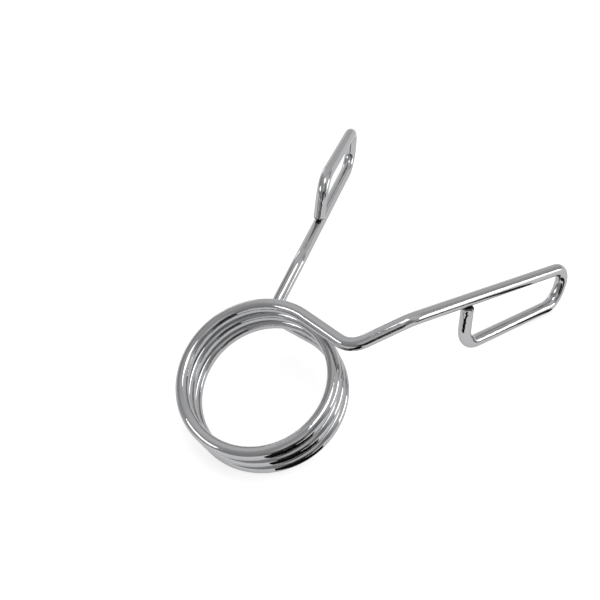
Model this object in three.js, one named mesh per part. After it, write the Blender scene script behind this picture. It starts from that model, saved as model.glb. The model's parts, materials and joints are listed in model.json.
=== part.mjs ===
// Spring-wire bar clip: one round wire wound into an open coil of three turns.
// Each end of the wire leaves the coil at a tangent, bends back outwards, runs
// down a long arm and folds round into a flat finger loop.
//
// Units are millimetres. The shape is laid out with +Z up the coil's own axis
// and the arms towards +X, then leaned over onto the three places it lies on:
// the back edge of the coil and the two loop tips. The finished part stands on
// z = 0 with the arms still towards +X.
import * as THREE from 'three';

// ---- wire and coil ----
const WIRE_DIAMETER = 4.7;
const WIRE_RADIUS = WIRE_DIAMETER / 2;
const COIL_MEAN_RADIUS = 26.5;
const COIL_PITCH = 6.75;
const HALF_WINDING = 543;           // degrees of winding each side of the middle
const COIL_STRETCHES = 6;           // one for each half turn
const WIRE_SIDES = 12;
const COIL_STEPS = 24;              // along each stretch of the coil
const BEND_STEPS = 8;
const STRETCH_GAP = 0.3;            // clearance between neighbouring stretches
const END_CHAMFER = 0.5;            // on the two cut ends of the wire

// ---- bends, radius of the wire's centreline ----
const REVERSE_BEND_RADIUS = 7.7;
const KNEE_BEND_RADIUS = 9;
const LOOP_BEND_RADIUS = 7.5;
const BEND_SHARE = 0.48;            // most of a straight that one bend takes up

// ---- arms and finger loops ----
// Angles are in degrees: yaw is measured from +X towards +Y, slope is upwards.
const TIP_SETBACK = 3.5;            // far loop bend, back from the arm's end
const LEG_LEAN = 1.5;               // end leg's foot, further back than its heel
const LEG_CLEARANCE = 0.35;         // cut end of the wire to the arm
const UPPER = {
  name: 'upper',
  side: 1,
  leadOut: 21.3,
  shoulderLength: 22.2,
  shoulderYaw: -28.4,
  shoulderSlope: -3,
  armYaw: -12.3,
  armSlope: -38.6,
  armReach: 91.2,
  loopRoll: 15.9,
  loopLength: 59,
  tipDepth: 15.6,
  heelDepth: 19.3,
};
const LOWER = {
  name: 'lower',
  side: -1,
  leadOut: 19.7,
  shoulderLength: 24.2,
  shoulderYaw: 11.4,
  shoulderSlope: 2.4,
  armYaw: 30.7,
  armSlope: -32,
  armReach: 91.9,
  loopRoll: 13,
  loopLength: 59.4,
  tipDepth: 18.5,
  heelDepth: 19.6,
};

// ---- how the clip lies ----
const COIL_LEAN = 20.01;            // degrees, top of the coil away from the arms
const COIL_ROLL = -2.08;            // degrees about the arms' direction

const UP = new THREE.Vector3(0, 0, 1);
const radians = THREE.MathUtils.degToRad;

// ---------- directions and points ----------
function direction(yaw, slope) {
  const level = Math.cos(radians(slope));
  return new THREE.Vector3(
    level * Math.cos(radians(yaw)),
    level * Math.sin(radians(yaw)),
    Math.sin(radians(slope)),
  );
}

function offset(point, heading, distance) {
  return point.clone().addScaledVector(heading, distance);
}

// The winding is measured from its middle, which is at the back of the coil.
function coilPoint(angle) {
  return new THREE.Vector3(
    -COIL_MEAN_RADIUS * Math.cos(radians(angle)),
    -COIL_MEAN_RADIUS * Math.sin(radians(angle)),
    -COIL_PITCH * angle / 360,
  );
}

function coilHeading(angle) {
  return new THREE.Vector3(
    COIL_MEAN_RADIUS * Math.sin(radians(angle)),
    -COIL_MEAN_RADIUS * Math.cos(radians(angle)),
    -COIL_PITCH / (2 * Math.PI),
  ).normalize();
}

// ---------- centrelines ----------
// Arc that rounds a corner, as evenly spaced points from one straight to the
// other. The radius is reduced where the straights are too short to hold it.
function roundedCorner(before, corner, after, radius) {
  const back = before.clone().sub(corner);
  const on = after.clone().sub(corner);
  const room = BEND_SHARE * Math.min(back.length(), on.length());
  back.normalize();
  on.normalize();
  const halfAngle = back.angleTo(on) / 2;
  const run = Math.min(radius / Math.tan(halfAngle), room);
  const bendRadius = run * Math.tan(halfAngle);
  const toCentre = back.clone().add(on).normalize();
  const centre = offset(corner, toCentre, bendRadius / Math.sin(halfAngle));
  const first = offset(corner, back, run).sub(centre);
  const last = offset(corner, on, run).sub(centre);
  const axis = first.clone().cross(last).normalize();
  const turn = first.angleTo(last);
  const points = [];
  for (let step = 0; step <= BEND_STEPS; step += 1) {
    const arm = first.clone().applyAxisAngle(axis, turn * step / BEND_STEPS);
    points.push(arm.add(centre));
  }
  return points;
}

function lastOf(points) {
  return points[points.length - 1];
}

// Shortens a centreline at both ends by half the gap between stretches.
function trimmed(points, atStart, atEnd) {
  const line = points.map((point) => point.clone());
  if (atStart) {
    const heading = line[1].clone().sub(line[0]).normalize();
    line[0].addScaledVector(heading, STRETCH_GAP / 2);
  }
  if (atEnd) {
    const heading = line[line.length - 2].clone().sub(lastOf(line)).normalize();
    lastOf(line).addScaledVector(heading, STRETCH_GAP / 2);
  }
  return line;
}

// ---------- wire solids ----------
// Closed body swept along a centreline. Every ring is square to the wire, with
// its flats turned to the given side direction.
function wireBody(centreline, sideDirection, radii) {
  const positions = [];
  const indices = [];
  const rings = centreline.length;
  centreline.forEach((point, ring) => {
    const previous = centreline[Math.max(ring - 1, 0)];
    const next = centreline[Math.min(ring + 1, rings - 1)];
    const heading = next.clone().sub(previous).normalize();
    const across = sideDirection.clone().addScaledVector(heading, -sideDirection.dot(heading));
    across.normalize();
    const along = heading.clone().cross(across);
    const radius = radii ? radii[ring] : WIRE_RADIUS;
    for (let side = 0; side < WIRE_SIDES; side += 1) {
      const angle = 2 * Math.PI * (side + 0.5) / WIRE_SIDES;
      const vertex = offset(point, across, radius * Math.cos(angle));
      vertex.addScaledVector(along, radius * Math.sin(angle));
      positions.push(vertex.x, vertex.y, vertex.z);
    }
  });
  for (let ring = 0; ring < rings - 1; ring += 1) {
    for (let side = 0; side < WIRE_SIDES; side += 1) {
      const here = ring * WIRE_SIDES + side;
      const beside = ring * WIRE_SIDES + (side + 1) % WIRE_SIDES;
      indices.push(here, beside, beside + WIRE_SIDES);
      indices.push(here, beside + WIRE_SIDES, here + WIRE_SIDES);
    }
  }
  const lastRing = (rings - 1) * WIRE_SIDES;
  for (let side = 1; side < WIRE_SIDES - 1; side += 1) {
    indices.push(0, side + 1, side);
    indices.push(lastRing, lastRing + side, lastRing + side + 1);
  }
  const geometry = new THREE.BufferGeometry();
  geometry.setAttribute('position', new THREE.Float32BufferAttribute(positions, 3));
  geometry.setIndex(indices);
  geometry.computeVertexNormals();
  return geometry;
}

const clip = new THREE.Group();
clip.name = 'spring_wire_clip';

function addStretch(name, geometry) {
  const chrome = new THREE.MeshStandardMaterial({
    color: 0xd4d6d9,
    roughness: 0.12,
    metalness: 1,
  });
  const mesh = new THREE.Mesh(geometry, chrome);
  mesh.name = name;
  clip.add(mesh);
}

// ---------- coil ----------
function addCoil() {
  const stretchAngle = 2 * HALF_WINDING / COIL_STRETCHES;
  for (let stretch = 0; stretch < COIL_STRETCHES; stretch += 1) {
    const points = [];
    for (let step = 0; step <= COIL_STEPS; step += 1) {
      const angle = -HALF_WINDING + stretchAngle * (stretch + step / COIL_STEPS);
      points.push(coilPoint(angle));
    }
    addStretch(`coil_half_turn_${stretch + 1}`, wireBody(trimmed(points, true, true), UP));
  }
}

// ---------- handles ----------
function addHandle(spec) {
  const start = coilPoint(-spec.side * HALF_WINDING);
  const outwards = coilHeading(-spec.side * HALF_WINDING).multiplyScalar(-spec.side);
  const reverse = offset(start, outwards, spec.leadOut);
  const shoulder = direction(spec.shoulderYaw, spec.shoulderSlope);
  const knee = offset(reverse, shoulder, spec.shoulderLength);
  const arm = direction(spec.armYaw, spec.armSlope);
  const tip = offset(knee, arm, spec.armReach);

  // The loop hangs below the upper arm and stands above the lower one.
  const level = UP.clone().cross(arm).normalize();
  const steep = arm.clone().cross(level);
  const loopTurn = radians(spec.loopRoll) * spec.side;
  const depth = steep.multiplyScalar(-spec.side * Math.cos(loopTurn));
  depth.addScaledVector(level, -spec.side * Math.sin(loopTurn));
  const loopSide = arm.clone().cross(depth).normalize();

  const tipReturn = offset(offset(tip, arm, -TIP_SETBACK), depth, spec.tipDepth);
  const heel = offset(offset(tip, arm, -spec.loopLength), depth, spec.heelDepth);
  const loopMouth = offset(tip, arm, -spec.loopLength - LEG_LEAN);
  const cutEnd = offset(loopMouth, depth, WIRE_RADIUS + LEG_CLEARANCE);

  const reverseBend = roundedCorner(start, reverse, knee, REVERSE_BEND_RADIUS);
  const kneeBend = roundedCorner(reverse, knee, tip, KNEE_BEND_RADIUS);
  const tipBend = roundedCorner(knee, tip, tipReturn, LOOP_BEND_RADIUS);
  const returnBend = roundedCorner(tip, tipReturn, heel, LOOP_BEND_RADIUS);
  const heelBend = roundedCorner(tipReturn, heel, cutEnd, LOOP_BEND_RADIUS);

  const legStart = lastOf(heelBend);
  const legHeading = cutEnd.clone().sub(legStart).normalize();
  const chamferStart = offset(cutEnd, legHeading, -END_CHAMFER);
  const legRadii = [WIRE_RADIUS, WIRE_RADIUS, WIRE_RADIUS - END_CHAMFER / 2];

  const stretches = {
    lead_out: [[start, reverseBend[0]], UP],
    reverse_bend: [reverseBend, UP],
    shoulder: [[lastOf(reverseBend), ...kneeBend], loopSide],
    forearm: [[lastOf(kneeBend), loopMouth], loopSide],
    grip_bar: [[loopMouth, tipBend[0]], loopSide],
    tip_bend: [tipBend, loopSide],
    return_bend: [[lastOf(tipBend), ...returnBend], loopSide],
    return_bar: [[lastOf(returnBend), heelBend[0]], loopSide],
    heel_bend: [heelBend, loopSide],
  };
  for (const [name, [points, sideDirection]] of Object.entries(stretches)) {
    addStretch(`${spec.name}_${name}`, wireBody(trimmed(points, true, true), sideDirection));
  }
  const leg = trimmed([legStart, chamferStart, cutEnd], true, false);
  addStretch(`${spec.name}_end_leg`, wireBody(leg, loopSide, legRadii));
}

// ---------- resting attitude ----------
// Turns every stretch into the attitude the clip lies in, then moves the whole
// part so that it is centred in X and Y and stands on z = 0.
function layDown() {
  const attitude = new THREE.Matrix4().makeRotationX(radians(COIL_ROLL));
  attitude.premultiply(new THREE.Matrix4().makeRotationY(radians(-COIL_LEAN)));
  const bounds = new THREE.Box3();
  for (const mesh of clip.children) {
    mesh.geometry.applyMatrix4(attitude);
    mesh.geometry.computeBoundingBox();
    bounds.union(mesh.geometry.boundingBox);
  }
  const centre = bounds.getCenter(new THREE.Vector3());
  for (const mesh of clip.children) {
    mesh.geometry.translate(-centre.x, -centre.y, -bounds.min.z);
  }
}

addCoil();
addHandle(UPPER);
addHandle(LOWER);
layDown();

export default clip;
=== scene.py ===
import json
import math

import bpy
import numpy as np
from mathutils import Matrix, Vector


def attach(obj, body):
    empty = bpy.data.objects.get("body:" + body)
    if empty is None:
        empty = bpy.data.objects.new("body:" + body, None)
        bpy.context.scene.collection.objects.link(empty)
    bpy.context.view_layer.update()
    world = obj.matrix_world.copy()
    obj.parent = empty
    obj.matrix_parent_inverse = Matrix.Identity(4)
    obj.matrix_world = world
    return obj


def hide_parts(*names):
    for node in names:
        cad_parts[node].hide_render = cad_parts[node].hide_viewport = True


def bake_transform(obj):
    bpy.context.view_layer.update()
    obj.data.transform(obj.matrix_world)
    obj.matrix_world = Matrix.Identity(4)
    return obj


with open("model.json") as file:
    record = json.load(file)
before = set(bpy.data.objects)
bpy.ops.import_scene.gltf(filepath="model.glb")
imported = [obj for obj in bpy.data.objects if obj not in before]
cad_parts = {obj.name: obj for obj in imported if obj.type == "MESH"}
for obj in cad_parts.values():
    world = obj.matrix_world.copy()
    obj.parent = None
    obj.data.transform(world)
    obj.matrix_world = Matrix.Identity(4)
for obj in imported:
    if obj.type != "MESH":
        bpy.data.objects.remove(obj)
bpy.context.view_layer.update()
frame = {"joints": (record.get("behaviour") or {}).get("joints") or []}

# ---------------------------------------------------------------- dimensions
# Millimetres, on the coil's own axes: Z up the coil's axis, X towards the
# handles, the origin at the coil's middle. Angles are in degrees.
WIRE_RADIUS = 2.35
COIL_RADIUS = 26.5
COIL_PITCH = 6.75
HALF_WINDING = 543
COIL_LEAN = 20.01
COIL_ROLL = -2.08

# The radius of each bend. A bend takes up at most BEND_SHARE of the straights
# on either side of it.
REVERSE_BEND = 7.7
KNEE_BEND = 9
LOOP_BEND = 7.5
BEND_SHARE = 0.48
TIP_SETBACK = 3.5
LEG_LEAN = 1.5
LEG_CLEARANCE = 0.35

# The cut ends are rounded over at the rim and slightly hollow in the middle.
CUT_ROUNDING = 0.6
CUT_HOLLOW = 0.05
CUT_RIM_TURNS = (0, 20, 40, 60, 78)
CUT_FACE_SHARES = (0.8, 0.55, 0.3, 0.1)

# How finely the wire is drawn, and where its pieces meet: the coil's pieces
# run on past its ends by SEAM_PAST_COIL, and the loops start at ARM_LENGTH.
POINT_SPACING = 0.5
ARC_POINTS = 25
BEND_SOFTNESS = 1.0
WIRE_SIDES = 40
SEAM_PAST_COIL = 6
ARM_LENGTH = 62

UPPER = dict(
    side=1, lead_out=21.3,
    shoulder=22.2, shoulder_yaw=-28.4, shoulder_slope=-3,
    arm_yaw=-12.3, arm_slope=-38.6, arm_reach=91.2,
    loop_roll=15.9, loop_length=59, tip_depth=15.6, heel_depth=19.3,
)
LOWER = dict(
    side=-1, lead_out=19.7,
    shoulder=24.2, shoulder_yaw=11.4, shoulder_slope=2.4,
    arm_yaw=30.7, arm_slope=-32, arm_reach=91.9,
    loop_roll=13, loop_length=59.4, tip_depth=18.5, heel_depth=19.6,
)

# The coil's place in the row frame, from the joint that its handles turn on.
squeeze = next(j for j in frame["joints"] if j["name"] == "squeeze_upper")
coil_centre = Vector(squeeze["pos_m"])
attitude = (
    Matrix.Rotation(math.radians(-COIL_LEAN), 3, "Y")
    @ Matrix.Rotation(math.radians(COIL_ROLL), 3, "X")
)

scene = bpy.context.scene

# ---------------------------------------------------------------- camera
# Metres in the row frame, and degrees.
CAMERA_AT = (-0.1961, -0.1453, 0.2825)
CAMERA_DOWN = 47.78
CAMERA_HEADING = -49.74
CAMERA_ROLL = 0.14
camera_data = bpy.data.cameras.new("camera")
camera_data.sensor_width = 36
camera_data.lens = 57.19
camera_data.clip_start = 0.01
camera = bpy.data.objects.new("camera", camera_data)
scene.collection.objects.link(camera)
camera.matrix_world = (
    Matrix.Translation(CAMERA_AT)
    @ Matrix.Rotation(math.radians(CAMERA_HEADING), 4, "Z")
    @ Matrix.Rotation(math.radians(90 - CAMERA_DOWN), 4, "X")
    @ Matrix.Rotation(math.radians(CAMERA_ROLL), 4, "Z")
)
scene.camera = camera


# ---------------------------------------------------------------- centreline
def unit(v):
    return v / np.linalg.norm(v)


def heading(yaw, slope):
    yaw = math.radians(yaw)
    slope = math.radians(slope)
    return np.array([
        math.cos(slope) * math.cos(yaw),
        math.cos(slope) * math.sin(yaw),
        math.sin(slope),
    ])


def coil_points(angles):
    """The coil's centreline, by its winding from the middle, which is at the back."""
    turned = np.radians(angles)
    return np.stack([
        -COIL_RADIUS * np.cos(turned),
        -COIL_RADIUS * np.sin(turned),
        -COIL_PITCH * angles / 360,
    ], axis=1)


def rounded(corners, radii):
    """The corners as one path, with an arc in place of each inner corner."""
    path = [corners[0]]
    for before, corner, after, radius in zip(corners, corners[1:], corners[2:], radii):
        back, on = before - corner, after - corner
        room = BEND_SHARE * min(np.linalg.norm(back), np.linalg.norm(on))
        back, on = unit(back), unit(on)
        half = math.acos(np.clip(back @ on, -1, 1)) / 2
        run = min(radius / math.tan(half), room)
        bend = run * math.tan(half)
        centre = corner + unit(back + on) * bend / math.sin(half)
        first = corner + back * run - centre
        last = corner + on * run - centre
        turn = math.pi - 2 * half
        for q in np.linspace(0, 1, ARC_POINTS):
            arm = math.sin((1 - q) * turn) * first + math.sin(q * turn) * last
            path.append(centre + arm / math.sin(turn))
    path.append(corners[-1])
    return np.array(path)


def handle_path(spec):
    """One handle's centreline, from the coil's end to the wire's cut end."""
    side = spec["side"]
    end_angle = -side * HALF_WINDING
    start = coil_points(np.array([end_angle]))[0]
    ahead = coil_points(np.array([end_angle - side * 0.05]))[0]
    reverse = start + unit(ahead - start) * spec["lead_out"]
    knee = reverse + heading(spec["shoulder_yaw"], spec["shoulder_slope"]) * spec["shoulder"]
    arm = heading(spec["arm_yaw"], spec["arm_slope"])
    tip = knee + arm * spec["arm_reach"]
    level = unit(np.cross([0, 0, 1], arm))
    steep = np.cross(arm, level)
    roll = math.radians(spec["loop_roll"]) * side
    depth = -side * (math.cos(roll) * steep + math.sin(roll) * level)
    tip_return = tip - arm * TIP_SETBACK + depth * spec["tip_depth"]
    heel = tip - arm * spec["loop_length"] + depth * spec["heel_depth"]
    foot = tip - arm * (spec["loop_length"] + LEG_LEAN)
    cut_end = foot + depth * (WIRE_RADIUS + LEG_CLEARANCE)
    corners = [start, reverse, knee, tip, tip_return, heel, cut_end]
    return rounded(corners, [REVERSE_BEND, KNEE_BEND, LOOP_BEND, LOOP_BEND, LOOP_BEND])


def evenly_spaced(path, spacing):
    steps = np.linalg.norm(np.diff(path, axis=0), axis=1)
    run = np.concatenate([[0], np.cumsum(steps)])
    count = int(round(run[-1] / spacing)) + 1
    at = np.linspace(0, run[-1], count)
    return np.stack([np.interp(at, run, path[:, k]) for k in range(3)], axis=1)


def softened(path, reach):
    """The path with its bends eased in and out, and its ends kept."""
    width = reach / POINT_SPACING
    span = int(math.ceil(3 * width))
    weights = np.exp(-0.5 * (np.arange(-span, span + 1) / width) ** 2)
    weights /= weights.sum()
    before = 2 * path[0] - path[span:0:-1]
    after = 2 * path[-1] - path[-2:-span - 2:-1]
    longer = np.concatenate([before, path, after])
    return np.stack([np.convolve(longer[:, k], weights, "valid") for k in range(3)], axis=1)


def eased_handle(spec):
    """A handle's path in even steps, with its bends eased."""
    return softened(evenly_spaced(handle_path(spec), POINT_SPACING), BEND_SOFTNESS)


# The coil has an even number of steps, so that one point is its middle.
upper_path = eased_handle(UPPER)
lower_path = eased_handle(LOWER)
coil_count = int(round(2 * math.radians(HALF_WINDING) * COIL_RADIUS / POINT_SPACING)) // 2 * 2
coil_path = coil_points(np.linspace(-HALF_WINDING, HALF_WINDING, coil_count + 1))
wire_path = np.concatenate([upper_path[::-1], coil_path[1:-1], lower_path])
coil_starts = len(upper_path) - 1
coil_middle = coil_starts + coil_count // 2
coil_ends = coil_starts + coil_count


# ---------------------------------------------------------------- materials
def node_of(material, kind, **inputs):
    node = material.node_tree.nodes.new(kind)
    for name, value in inputs.items():
        node.inputs[name].default_value = value
    return node


def stretched_noise(material, scale, detail):
    """Noise in the wire's own directions: along its length and round it."""
    links = material.node_tree.links
    place = node_of(material, "ShaderNodeUVMap")
    place.uv_map = "along_wire"
    mapping = node_of(material, "ShaderNodeMapping")
    mapping.inputs["Scale"].default_value = scale
    noise = node_of(material, "ShaderNodeTexNoise", Scale=1.0, Detail=detail)
    links.new(place.outputs["UV"], mapping.inputs["Vector"])
    links.new(mapping.outputs["Vector"], noise.inputs["Vector"])
    return noise.outputs["Fac"]


def solid_noise(material, scale, detail):
    """Noise that fills space, at so many lumps to the metre."""
    links = material.node_tree.links
    place = node_of(material, "ShaderNodeTexCoord")
    noise = node_of(material, "ShaderNodeTexNoise", Scale=scale, Detail=detail)
    links.new(place.outputs["Object"], noise.inputs["Vector"])
    return noise.outputs["Fac"]


def spread(material, source, low, high, span=(0.3, 0.7)):
    """The noise, with the span that it mostly keeps to drawn out from low to high."""
    node = node_of(material, "ShaderNodeMapRange")
    node.inputs["From Min"].default_value = span[0]
    node.inputs["From Max"].default_value = span[1]
    node.inputs["To Min"].default_value = low
    node.inputs["To Max"].default_value = high
    material.node_tree.links.new(source, node.inputs["Value"])
    return node.outputs["Result"]


def bump(material, source, strength, distance, under=None):
    node = node_of(material, "ShaderNodeBump", Strength=strength, Distance=distance)
    material.node_tree.links.new(source, node.inputs["Height"])
    if under is not None:
        material.node_tree.links.new(under, node.inputs["Normal"])
    return node.outputs["Normal"]


def metal(name, colour, edge):
    material = bpy.data.materials.new(name)
    material.use_nodes = True
    shader = material.node_tree.nodes["Principled BSDF"]
    shader.inputs["Base Color"].default_value = (*colour, 1)
    shader.inputs["Metallic"].default_value = 1
    shader.inputs["Specular Tint"].default_value = (edge, edge, edge, 1)
    return material, shader


def bright_plating():
    """Plating over drawn wire: faint long marks, a slight ripple where the
    plating is uneven, and a few duller patches from handling."""
    material, shader = metal("chromed_wire", (0.41, 0.412, 0.42), 0.7)
    links = material.node_tree.links
    patches = solid_noise(material, 60, 3)
    links.new(spread(material, patches, 0.02, 0.07), shader.inputs["Roughness"])
    ripple = bump(material, solid_noise(material, 260, 2), 0.22, 0.0004)
    marks = stretched_noise(material, (24, 22, 1), 3)
    links.new(bump(material, marks, 0.3, 0.00006, ripple), shader.inputs["Normal"])
    return material


def cut_face_material_with_shade():
    """The end faces are cut after plating: bare steel with a torn grain, its tone darkened as
    painted shade for the narrow gap between the cut end and the arm.
    """
    material, shader = metal("cut_face_and_gap_shade", (0.1, 0.1, 0.105), 0.5)
    links = material.node_tree.links
    grain = solid_noise(material, 1900, 6)
    links.new(spread(material, grain, 0.28, 0.5), shader.inputs["Roughness"])
    links.new(bump(material, grain, 0.5, 0.0001), shader.inputs["Normal"])
    return material


def dull_glow(name, grey, glow):
    """A dull grey that also gives off light, so that it has its tone in the wire: an even
    glow for the floor, and painted shade or painted light for the cards.
    """
    material = bpy.data.materials.new(name)
    material.use_nodes = True
    shader = material.node_tree.nodes["Principled BSDF"]
    shader.inputs["Base Color"].default_value = (grey, grey, grey, 1)
    shader.inputs["Roughness"].default_value = 0.9
    shader.inputs["Specular IOR Level"].default_value = 0
    shader.inputs["Emission Color"].default_value = (1, 1, 1, 1)
    shader.inputs["Emission Strength"].default_value = glow
    return material


chromed_wire = bright_plating()
# The cut faces: bare steel, darkened as painted shade for the gap by the arm.
cut_face_and_gap_shade = cut_face_material_with_shade()


# ---------------------------------------------------------------- wire mesh
def carried_frames(path):
    """Directions across the wire at each point, carried along without twist."""
    ahead = np.gradient(path, axis=0)
    ahead /= np.linalg.norm(ahead, axis=1)[:, None]
    across = np.zeros_like(path)
    across[0] = unit(np.cross(ahead[0], [0, 0, 1]))
    for k in range(1, len(path)):
        carried = across[k - 1] - ahead[k] * (across[k - 1] @ ahead[k])
        across[k] = unit(carried)
    return ahead, across, np.cross(ahead, across)


ahead, across, beside = carried_frames(wire_path)
step_lengths = np.linalg.norm(np.diff(wire_path, axis=0), axis=1)
wire_run = np.concatenate([[0], np.cumsum(step_lengths)])


def to_row(points):
    """Points on the coil's own axes, in millimetres, as metres in the row frame."""
    turned = points / 1000 @ np.array(attitude).T
    return turned + np.array(coil_centre)


def ring(k, radius, shift=0.0):
    angles = 2 * np.pi * np.arange(WIRE_SIDES) / WIRE_SIDES
    spokes = np.cos(angles)[:, None] * across[k] + np.sin(angles)[:, None] * beside[k]
    return wire_path[k] + ahead[k] * shift + spokes * radius


def cut_rings(k, way):
    """Rings that round the wire over at its sheared end and close on its face.
    way is 1 where the wire ends ahead of point k, and -1 where it ends behind."""
    rings = []
    for turn in np.radians(CUT_RIM_TURNS):
        inset = CUT_ROUNDING * (1 - math.cos(turn))
        back = CUT_ROUNDING * (1 - math.sin(turn))
        rings.append(ring(k, WIRE_RADIUS - inset, -way * back))
    for share in CUT_FACE_SHARES:
        hollow = CUT_HOLLOW * (1 - share)
        rings.append(ring(k, (WIRE_RADIUS - CUT_ROUNDING) * share, -way * hollow))
    return rings


def rings_between(first, last, cut_way):
    """The wire's rings between two of its points, how far along the wire each one
    lies, and how many of them make the cut end."""
    rings = [ring(k, WIRE_RADIUS) for k in range(first, last + 1)]
    runs = list(wire_run[first:last + 1])
    if cut_way == 1:
        end = cut_rings(last, 1)
        return rings[:-1] + end, runs[:-1] + [wire_run[last]] * len(end), len(end)
    if cut_way == -1:
        end = cut_rings(first, -1)
        return end[::-1] + rings[1:], [wire_run[first]] * len(end) + runs[1:], len(end)
    return rings, runs, 0


def wire_skin(runs, bare, cut_way):
    """The faces between the rings, each face corner's place along and round the
    wire in metres and turns, and each face's material: 0 plated, 1 bare steel darkened with
    painted shade."""
    faces, corners_uv, slots = [], [], []
    for r in range(len(runs) - 1):
        here, there = r * WIRE_SIDES, (r + 1) * WIRE_SIDES
        is_bare = bare and (r >= len(runs) - bare if cut_way == 1 else r < bare - 1)
        u0, u1 = runs[r] / 1000, runs[r + 1] / 1000
        for s in range(WIRE_SIDES):
            n = (s + 1) % WIRE_SIDES
            v0, v1 = s / WIRE_SIDES, (s + 1) / WIRE_SIDES
            faces.append((here + s, here + n, there + n, there + s))
            corners_uv += [(u0, v0), (u0, v1), (u1, v1), (u1, v0)]
            slots.append(1 if is_bare else 0)
    if cut_way:
        r = len(runs) - 1 if cut_way == 1 else 0
        face = [r * WIRE_SIDES + s for s in range(WIRE_SIDES)]
        faces.append(face if cut_way == 1 else face[::-1])
        corners_uv += [(runs[r] / 1000, 0.5)] * WIRE_SIDES
        slots.append(1)
    return faces, corners_uv, slots


def wire_piece(name, first, last, cut_way=0):
    """The wire between two points of its path. cut_way is 1 or -1 where the
    last or the first point is the wire's own sheared end."""
    rings, runs, bare = rings_between(first, last, cut_way)
    faces, corners_uv, slots = wire_skin(runs, bare, cut_way)
    mesh = bpy.data.meshes.new(name)
    mesh.from_pydata(to_row(np.concatenate(rings)).tolist(), [], faces)
    layer = mesh.uv_layers.new(name="along_wire")
    layer.data.foreach_set("uv", np.array(corners_uv, np.float32).ravel())
    mesh.materials.append(chromed_wire)
    if cut_way:
        mesh.materials.append(cut_face_and_gap_shade)
    mesh.polygons.foreach_set("use_smooth", [True] * len(faces))
    mesh.polygons.foreach_set("material_index", slots)
    mesh.update()
    piece = bpy.data.objects.new(name, mesh)
    scene.collection.objects.link(piece)
    return piece


def point_at(index, distance):
    """The path's point that lies a distance beyond the one given."""
    return int(np.argmin(np.abs(wire_run - (wire_run[index] + distance))))


# ---------------------------------------------------------------- pieces
upper_seam = point_at(coil_starts, -SEAM_PAST_COIL)
lower_seam = point_at(coil_ends, SEAM_PAST_COIL)
upper_mouth = point_at(coil_starts, -ARM_LENGTH)
lower_mouth = point_at(coil_ends, ARM_LENGTH)
last_point = len(wire_path) - 1

upper_loop = wire_piece("upper_finger_loop", 0, upper_mouth, cut_way=-1)
upper_arm = wire_piece("upper_arm", upper_mouth, upper_seam)
upper_coil = wire_piece("coil_upper_half", upper_seam, coil_middle)
lower_coil = wire_piece("coil_lower_half", coil_middle, lower_seam)
lower_arm = wire_piece("lower_arm", lower_seam, lower_mouth)
lower_loop = wire_piece("lower_finger_loop", lower_mouth, last_point, cut_way=1)

for side, loop, arm in (("upper", upper_loop, upper_arm), ("lower", lower_loop, lower_arm)):
    body = f"{side}_handle"
    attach(loop, body)
    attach(arm, body)
    arm_nodes = ("lead_out", "reverse_bend", "shoulder", "forearm")
    loop_nodes = ("grip_bar", "tip_bend", "return_bend", "return_bar", "heel_bend", "end_leg")
    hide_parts(*[f"{side}_{n}" for n in arm_nodes])
    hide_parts(*[f"{side}_{n}" for n in loop_nodes])

# The coil twists as the handles close; here each half takes the place of three of the model's
# half turns, which are hidden, and its place is baked into its mesh.
for half, body, way, turns in (
    (upper_coil, "upper_handle", 1, (1, 2, 3)),
    (lower_coil, "lower_handle", -1, (4, 5, 6)),
):
    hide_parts(*[f"coil_half_turn_{n}" for n in turns])
    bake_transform(half)

# ---------------------------------------------------------------- floor
# Metres in the row frame. The paper lies just under the wire.
FLOOR_REACH = 3.0
FLOOR_DROP = 0.0001
PAPER_GREY = 0.62
floor_mesh = bpy.data.meshes.new("floor")
floor_mesh.from_pydata([
    (-FLOOR_REACH, -FLOOR_REACH, 0),
    (FLOOR_REACH, -FLOOR_REACH, 0),
    (FLOOR_REACH, FLOOR_REACH, 0),
    (-FLOOR_REACH, FLOOR_REACH, 0),
], [], [(0, 1, 2, 3)])
floor = bpy.data.objects.new("floor", floor_mesh)
floor.location.z = -FLOOR_DROP
scene.collection.objects.link(floor)
floor_mesh.materials.append(dull_glow("white_paper", PAPER_GREY, PAPER_GREY))

# ---------------------------------------------------------------- lights
# Directions are a heading in degrees, from +Y towards +X, and a height above
# the floor in degrees. Strengths are the brightness seen in a mirror.
LIGHT_DISTANCE = 1.2


def towards(turn, rise):
    turn = math.radians(turn)
    rise = math.radians(rise)
    return Vector((
        math.sin(turn) * math.cos(rise),
        math.cos(turn) * math.cos(rise),
        math.sin(rise),
    ))


def softbox(name, turn, rise, size, brightness):
    data = bpy.data.lights.new(name, "AREA")
    data.shape = "RECTANGLE"
    data.size, data.size_y = size
    data.energy = brightness * math.pi * size[0] * size[1]
    light = bpy.data.objects.new(name, data)
    light.location = towards(turn, rise) * LIGHT_DISTANCE
    light.rotation_euler = (-light.location).to_track_quat("-Z", "Y").to_euler()
    scene.collection.objects.link(light)


softbox("high_softbox", -168, 78, (0.5, 0.5), 3.0)
softbox("left_softbox", -60, 27, (0.5, 0.34), 3.4)
softbox("far_softbox", 24, 5, (0.4, 0.12), 3.2)
softbox("right_softbox", 141, 6, (0.6, 0.4), 4.0)

# Cards lie on the paper beside the wire, and only reflections see them: painted shadows of
# the coil and the arms on the table, painted shade on the table to the left, and a glowing
# card that is painted light. Corners are metres in the row frame.
CARD_DROP = 0.00005


def card(name, corners, brightness):
    mesh = bpy.data.meshes.new(name)
    mesh.from_pydata([(x, y, 0) for x, y in corners], [], [range(len(corners))])
    sheet = bpy.data.objects.new(name, mesh)
    sheet.location.z = -CARD_DROP
    sheet.visible_camera = False
    sheet.visible_diffuse = False
    sheet.visible_shadow = False
    scene.collection.objects.link(sheet)
    mesh.materials.append(dull_glow(name, 0, brightness))


# Painted shadow of the coil on the table, seen only in the wire.
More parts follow.
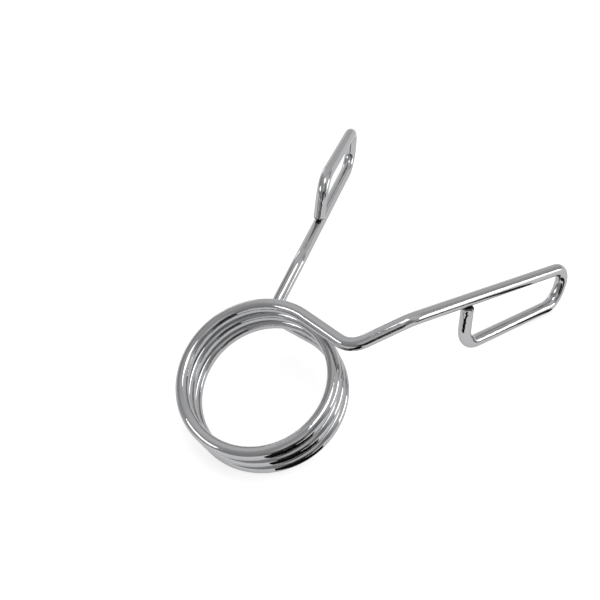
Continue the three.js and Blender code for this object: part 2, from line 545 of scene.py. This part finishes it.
card("painted_shadow_front", [
    (-0.05, -0.038), (-0.072, -0.03), (-0.12, -0.06), (-1.3, -1.15), (-0.45, -1.5),
    (-0.065, -0.19), (-0.115, -0.175), (-0.1, -0.125), (-0.07, -0.09), (-0.05, -0.09),
], 0.01)
# Painted shadow of the arms on the table, seen only in the wire.
card("painted_shadow_right", [
    (0.047, -0.066), (0.06, -0.058), (0.085, -0.15), (0.11, -0.36),
    (0.022, -0.36), (0.018, -0.14), (0.024, -0.122), (0.047, -0.114),
], 0.02)
# Painted light: a glowing patch of table, seen only in the wire.
card("painted_light_right", [
    (0.14, -0.18), (0.2, -0.16), (1.9, -1.5), (1.3, -2.0), (0.14, -0.26),
], 2.2)
# Painted shade on the table to the left, seen only in the wire.
card("painted_shade_left", [
    (-0.11, 0.03), (-0.09, 0.07), (-0.2, 0.2),
    (-0.42, 0.2), (-0.42, 0.06), (-0.2, 0.02),
], 0.5)

# ---------------------------------------------------------------- room
# An even grey, with paler and darker sides. Each side is a direction, the
# degrees from it where the side is full and where it has faded out, and its
# brightness. Behind the object the room is plain and pale.
ROOM_GREY = 0.56
ROOM_SIDES = (
    (30, 35, 20, 60, 0.9),
    (60, 12, 20, 50, 0.85),
    (150, 50, 15, 45, 0.9),
    (-15, 30, 8, 28, 0.44),
    (-97, 15, 15, 45, 0.44),
    (-155, 20, 22, 45, 0.32),
    (-140, 42, 10, 24, 0.8),
    (-147, 5, 17, 21, 0.03),
)
BACKDROP = 1.05

world = bpy.data.worlds.new("studio")
world.use_nodes = True
scene.world = world
room_nodes = world.node_tree.nodes
room_links = world.node_tree.links


def maths(operation, *sources):
    """A sum on numbers and sockets, as a node of the room."""
    node = room_nodes.new("ShaderNodeMath")
    node.operation = operation
    for socket, source in zip(node.inputs, sources):
        if isinstance(source, (int, float)):
            socket.default_value = source
        else:
            room_links.new(source, socket)
    return node.outputs["Value"]


def mixed(before, after, share):
    """before, with a share of after in its place."""
    kept = maths("MULTIPLY", before, maths("SUBTRACT", 1.0, share))
    return maths("ADD", kept, maths("MULTIPLY", share, after))


def side_share(view, turn, rise, full, gone):
    """How far a view of the room lies within one of its sides."""
    near = room_nodes.new("ShaderNodeVectorMath")
    near.operation = "DOT_PRODUCT"
    room_links.new(view, near.inputs[0])
    near.inputs[1].default_value = towards(turn, rise)
    share = room_nodes.new("ShaderNodeMapRange")
    share.interpolation_type = "SMOOTHSTEP"
    share.inputs["From Min"].default_value = math.cos(math.radians(gone))
    share.inputs["From Max"].default_value = math.cos(math.radians(full))
    room_links.new(near.outputs["Value"], share.inputs["Value"])
    return share.outputs["Result"]


view = room_nodes.new("ShaderNodeTexCoord").outputs["Generated"]
brightness = ROOM_GREY
for turn, rise, full, gone, value in ROOM_SIDES:
    brightness = mixed(brightness, value, side_share(view, turn, rise, full, gone))

seen = room_nodes.new("ShaderNodeLightPath").outputs["Is Camera Ray"]
background = room_nodes["Background"]
room_links.new(mixed(brightness, BACKDROP, seen), background.inputs["Strength"])
background.inputs["Color"].default_value = (1, 1, 1, 1)

scene.view_settings.view_transform = "Standard"
